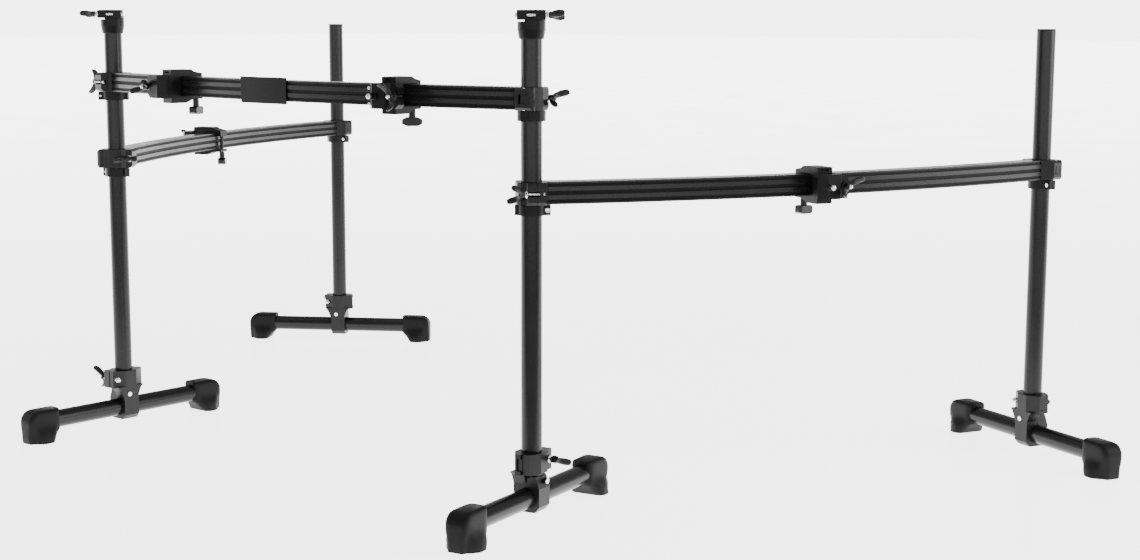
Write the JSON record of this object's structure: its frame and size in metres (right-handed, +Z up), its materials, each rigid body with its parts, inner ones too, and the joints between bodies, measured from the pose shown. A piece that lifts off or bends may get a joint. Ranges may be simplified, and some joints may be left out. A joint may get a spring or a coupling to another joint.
{
  "type": "drum rack",
  "caption": "Three-sided drum rack: bowed fluted rails clamped to round posts on T-legs, with accessory clamps that slide along the rails.",
  "frame": {"origin": "on the floor, below the middle of the rack's overall box", "axes": "+X along the front rail from the left post to the right post as seen by an audience that faces the rack from -Y, +Y from the front rail towards the player, +Z up"},
  "size_m": [2.5966, 1.5108, 0.9197],
  "materials": {
    "post_coat": "satin black powder coat",
    "rail_coat": "satin black on a fluted extrusion",
    "clamp_plastic": "fine-textured moulded black",
    "clamp_metal": "black coated casting",
    "wing_metal": "black coated wing on a bright screw",
    "foot_rubber": "matte black rubber",
    "screw_steel": "bright plated steel of screws, nuts and pins",
    "badge_enamel": "gloss black plate, blank"
  },
  "bodies": {
    "front_posts": {"post_front_left": "post_coat", "post_front_right": "post_coat", "top_clamps": "clamp_plastic"},
    "front_rail": {"front_rail": "rail_coat", "front_clamp_bodies": "clamp_metal", "front_clamp_jaws": "clamp_metal", "front_memory_locks": "clamp_plastic", "badge_plate": "badge_enamel"},
    "right_memory_lock": {"right_memory_lock_front_right": "clamp_plastic"},
    "left_memory_lock": {"left_memory_lock_front_left": "clamp_plastic"},
    "right_wing": {"right_rail": "rail_coat", "right_rail_clamps": "clamp_metal", "right_memory_lock_back_right": "clamp_plastic"},
    "left_wing": {"left_rail": "rail_coat", "left_rail_clamps": "clamp_metal", "left_memory_lock_back_left": "clamp_plastic"},
    "right_back_post": {"post_back_right": "post_coat", "post_cap_back_right": "clamp_plastic"},
    "left_back_post": {"post_back_left": "post_coat", "post_cap_back_left": "clamp_plastic"},
    "leg_front_left": {"leg_tube_front_left": "post_coat", "leg_clamp_front_left": "clamp_metal", "leg_feet_front_left": "foot_rubber"},
    "leg_front_right": {"leg_tube_front_right": "post_coat", "leg_clamp_front_right": "clamp_metal", "leg_feet_front_right": "foot_rubber"},
    "leg_back_right": {"leg_tube_back_right": "post_coat", "leg_clamp_back_right": "clamp_metal", "leg_feet_back_right": "foot_rubber"},
    "leg_back_left": {"leg_tube_back_left": "post_coat", "leg_clamp_back_left": "clamp_metal", "leg_feet_back_left": "foot_rubber"},
    "accessory_front_left": {"accessory_body_front_left": "clamp_plastic", "accessory_jaw_front_left": "clamp_plastic"},
    "accessory_front_right": {"accessory_body_front_right": "clamp_plastic", "accessory_jaw_front_right": "clamp_plastic"},
    "accessory_right": {"accessory_body_right": "clamp_plastic", "accessory_jaw_right": "clamp_plastic"},
    "accessory_left": {"accessory_body_left": "clamp_plastic", "accessory_jaw_left": "clamp_plastic"},
    "top_wing_front_left": {"top_wing_front_left": "wing_metal"},
    "top_wing_front_right": {"top_wing_front_right": "wing_metal"},
    "front_wing_screw_front_left": {"front_wing_front_left": "wing_metal"},
    "front_wing_screw_front_right": {"front_wing_front_right": "wing_metal"},
    "right_wing_screw_front_right": {"right_wing_front_right": "wing_metal"},
    "right_wing_screw_back_right": {"right_wing_back_right": "wing_metal"},
    "left_wing_screw_back_left": {"left_wing_back_left": "wing_metal"},
    "left_wing_screw_front_left": {"left_wing_front_left": "wing_metal"},
    "leg_wing_front_left": {"leg_wing_front_left": "wing_metal"},
    "leg_wing_front_right": {"leg_wing_front_right": "wing_metal"},
    "leg_wing_back_right": {"leg_wing_back_right": "wing_metal"},
    "leg_wing_back_left": {"leg_wing_back_left": "wing_metal"},
    "accessory_wing_front_left": {"accessory_wing_front_left": "wing_metal"},
    "accessory_wing_front_right": {"accessory_wing_front_right": "wing_metal"},
    "accessory_wing_right": {"accessory_wing_right": "wing_metal"},
    "accessory_wing_left": {"accessory_wing_left": "wing_metal"},
    "accessory_knob_front_left": {"accessory_knob_front_left": "wing_metal"},
    "accessory_knob_front_right": {"accessory_knob_front_right": "wing_metal"},
    "accessory_knob_right": {"accessory_knob_right": "wing_metal"},
    "accessory_knob_left": {"accessory_knob_left": "wing_metal"}
  },
  "joints": [
    {"name": "front_rail_height", "type": "slide", "parent": "front_posts", "child": "front_rail", "axis": [0, 0, 1], "range_m": [-0.09, 0.07]},
    {"name": "right_rail_height", "type": "slide", "parent": "front_posts", "child": "right_memory_lock", "axis": [0, 0, 1], "range_m": [-0.25, 0.085]},
    {"name": "left_rail_height", "type": "slide", "parent": "front_posts", "child": "left_memory_lock", "axis": [0, 0, 1], "range_m": [-0.25, 0.085]},
    {"name": "right_wing_swing", "type": "hinge", "parent": "right_memory_lock", "child": "right_wing", "pos_m": [0.59725, -0.4951, 0.597], "axis": [0, 0, -1], "range_deg": [-30, 60]},
    {"name": "left_wing_swing", "type": "hinge", "parent": "left_memory_lock", "child": "left_wing", "pos_m": [-0.61075, -0.4951, 0.597], "axis": [0, 0, 1], "range_deg": [-30, 60]},
    {"name": "right_back_post_height", "type": "slide", "parent": "right_wing", "child": "right_back_post", "axis": [0, 0, 1], "range_m": [-0.085, 0.25]},
    {"name": "left_back_post_height", "type": "slide", "parent": "left_wing", "child": "left_back_post", "axis": [0, 0, 1], "range_m": [-0.085, 0.25]},
    {"name": "leg_turn_front_left", "type": "hinge", "parent": "front_posts", "child": "leg_front_left", "pos_m": [-0.61075, -0.4951, 0.108], "axis": [0, 0, 1], "continuous": true},
    {"name": "leg_turn_front_right", "type": "hinge", "parent": "front_posts", "child": "leg_front_right", "pos_m": [0.59725, -0.4951, 0.108], "axis": [0, 0, 1], "continuous": true},
    {"name": "leg_turn_back_right", "type": "hinge", "parent": "right_back_post", "child": "leg_back_right", "pos_m": [1.04931, 0.58295, 0.108], "axis": [0, 0, 1], "continuous": true},
    {"name": "leg_turn_back_left", "type": "hinge", "parent": "left_back_post", "child": "leg_back_left", "pos_m": [-1.06282, 0.58295, 0.108], "axis": [0, 0, 1], "continuous": true},
    {"name": "accessory_slide_front_left", "type": "hinge", "parent": "front_rail", "child": "accessory_front_left", "pos_m": [-0.00675, 2.25271, 0.764], "axis": [0, 0, 1], "range_deg": [-3.87, 3.06]},
    {"name": "accessory_slide_front_right", "type": "hinge", "parent": "front_rail", "child": "accessory_front_right", "pos_m": [-0.00675, 2.25271, 0.764], "axis": [0, 0, 1], "range_deg": [-4.68, 3.26]},
    {"name": "accessory_slide_right", "type": "hinge", "parent": "right_wing", "child": "accessory_right", "pos_m": [-1.36272, 0.96059, 0.597], "axis": [0, 0, 1], "range_deg": [-8.92, 10.56]},
    {"name": "accessory_slide_left", "type": "hinge", "parent": "left_wing", "child": "accessory_left", "pos_m": [1.34922, 0.96059, 0.597], "axis": [0, 0, 1], "range_deg": [-9.62, 10.09]},
    {"name": "top_wing_turn_front_left", "type": "hinge", "parent": "front_posts", "child": "top_wing_front_left", "pos_m": [-0.62725, -0.53766, 0.91], "axis": [-0.766, -0.6428, 0], "continuous": true},
    {"name": "top_wing_turn_front_right", "type": "hinge", "parent": "front_posts", "child": "top_wing_front_right", "pos_m": [0.64203, -0.48624, 0.91], "axis": [0.766, 0.6428, 0], "continuous": true},
    {"name": "front_wing_turn_front_left", "type": "hinge", "parent": "front_rail", "child": "front_wing_screw_front_left", "pos_m": [-0.64204, -0.52099, 0.764], "axis": [-0.9767, 0.2147, 0], "continuous": true},
    {"name": "front_wing_turn_front_right", "type": "hinge", "parent": "front_rail", "child": "front_wing_screw_front_right", "pos_m": [0.61479, -0.45848, 0.764], "axis": [0.9767, 0.2147, 0], "continuous": true},
    {"name": "right_wing_turn_front_right", "type": "hinge", "parent": "right_wing", "child": "right_wing_screw_front_right", "pos_m": [0.60803, -0.53425, 0.597], "axis": [-0.5962, -0.8028, 0], "continuous": true},
    {"name": "right_wing_turn_back_right", "type": "hinge", "parent": "right_wing", "child": "right_wing_screw_back_right", "pos_m": [1.02157, 0.6126, 0.597], "axis": [0.1547, 0.988, 0], "continuous": true},
    {"name": "left_wing_turn_back_left", "type": "hinge", "parent": "left_wing", "child": "left_wing_screw_back_left", "pos_m": [-1.0983, 0.6027, 0.597], "axis": [-0.1547, 0.988, 0], "continuous": true},
    {"name": "left_wing_turn_front_left", "type": "hinge", "parent": "left_wing", "child": "left_wing_screw_front_left", "pos_m": [-0.57016, -0.49609, 0.597], "axis": [0.5962, -0.8028, 0], "continuous": true},
    {"name": "leg_wing_turn_front_left", "type": "hinge", "parent": "leg_front_left", "child": "leg_wing_front_left", "pos_m": [-0.64086, -0.52599, 0.108], "axis": [-1, 0.0035, 0], "continuous": true},
    {"name": "leg_wing_turn_front_right", "type": "hinge", "parent": "leg_front_right", "child": "leg_wing_front_right", "pos_m": [0.62116, -0.45919, 0.108], "axis": [0.9836, 0.1805, 0], "continuous": true},
    {"name": "leg_wing_turn_back_right", "type": "hinge", "parent": "leg_back_right", "child": "leg_wing_back_right", "pos_m": [1.03404, 0.6233, 0.108], "axis": [0.4258, 0.9048, 0], "continuous": true},
    {"name": "leg_wing_turn_back_left", "type": "hinge", "parent": "leg_back_left", "child": "leg_wing_back_left", "pos_m": [-1.10521, 0.59093, 0.108], "axis": [-0.5505, 0.8348, 0], "continuous": true},
    {"name": "accessory_wing_turn_front_left", "type": "hinge", "parent": "accessory_front_left", "child": "accessory_wing_front_left", "pos_m": [-0.34253, -0.61627, 0.764], "axis": [-0.1059, -0.9944, 0], "continuous": true},
    {"name": "accessory_wing_turn_front_right", "type": "hinge", "parent": "accessory_front_right", "child": "accessory_wing_front_right", "pos_m": [0.36338, -0.61204, 0.764], "axis": [0.1178, -0.993, 0], "continuous": true},
    {"name": "accessory_wing_turn_right", "type": "hinge", "parent": "accessory_right", "child": "accessory_wing_right", "pos_m": [0.95633, -0.01678, 0.597], "axis": [0.9168, -0.3993, 0], "continuous": true},
    {"name": "accessory_wing_turn_left", "type": "hinge", "parent": "accessory_left", "child": "accessory_wing_left", "pos_m": [-0.97933, 0.00607, 0.597], "axis": [-0.9207, -0.3903, 0], "continuous": true},
    {"name": "accessory_knob_turn_front_left", "type": "hinge", "parent": "accessory_front_left", "child": "accessory_knob_front_left", "pos_m": [-0.3021, -0.52001, 0.724], "axis": [0, 0, 1], "continuous": true},
    {"name": "accessory_knob_turn_front_right", "type": "hinge", "parent": "accessory_front_right", "child": "accessory_knob_front_right", "pos_m": [0.3218, -0.51628, 0.724], "axis": [0, 0, 1], "continuous": true},
    {"name": "accessory_knob_turn_right", "type": "hinge", "parent": "accessory_right", "child": "accessory_knob_right", "pos_m": [0.85267, -0.00435, 0.557], "axis": [0, 0, 1], "continuous": true},
    {"name": "accessory_knob_turn_left", "type": "hinge", "parent": "accessory_left", "child": "accessory_knob_left", "pos_m": [-0.87555, 0.01748, 0.557], "axis": [0, 0, 1], "continuous": true}
  ],
  "couplings": [
    {"joint": "right_back_post_height", "follows": "right_rail_height", "ratio": -1},
    {"joint": "left_back_post_height", "follows": "left_rail_height", "ratio": -1}
  ]
}
